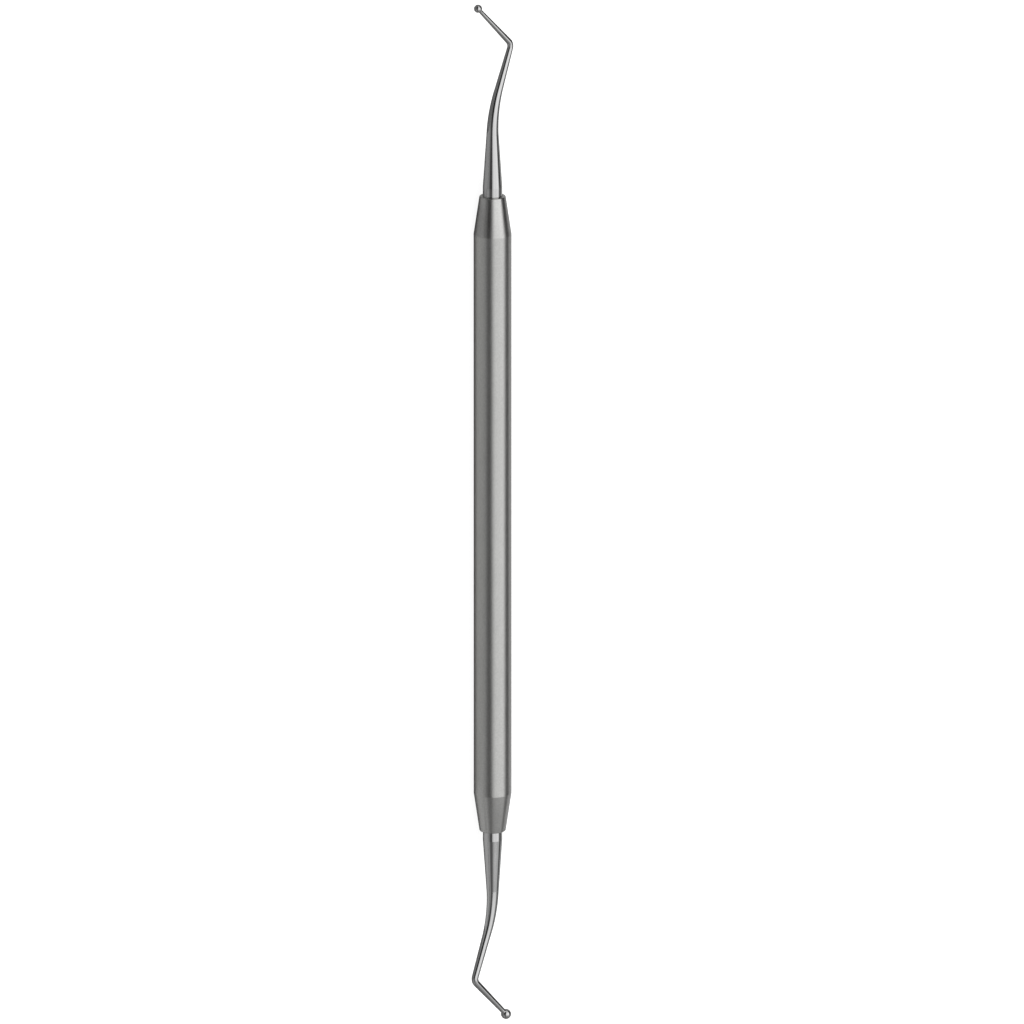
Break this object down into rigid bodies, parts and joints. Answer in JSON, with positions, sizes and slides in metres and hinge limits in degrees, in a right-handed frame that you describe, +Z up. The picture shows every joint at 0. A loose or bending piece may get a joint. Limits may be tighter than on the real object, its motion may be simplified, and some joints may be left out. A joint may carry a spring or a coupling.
{
  "type": "ball plugger",
  "caption": "Double-ended hand instrument for packing dental filling material, with a round satin handle and bent polished working ends tipped with balls of different sizes.",
  "frame": {"origin": "on the surface the instrument lies on, under the middle of the handle", "axes": "+Y along the handle towards the small ball, +Z up from the surface, +X to the side the small end leans to; both working ends bend in the level plane through the handle's axis"},
  "size_m": [0.0079, 0.1679, 0.006],
  "materials": {
    "satin_steel": "satin, fine bead-blasted",
    "polished_steel": "polished bright"
  },
  "bodies": {
    "root": {"handle": "satin_steel", "small_working_end": "polished_steel", "large_working_end": "polished_steel"}
  },
  "joints": []
}
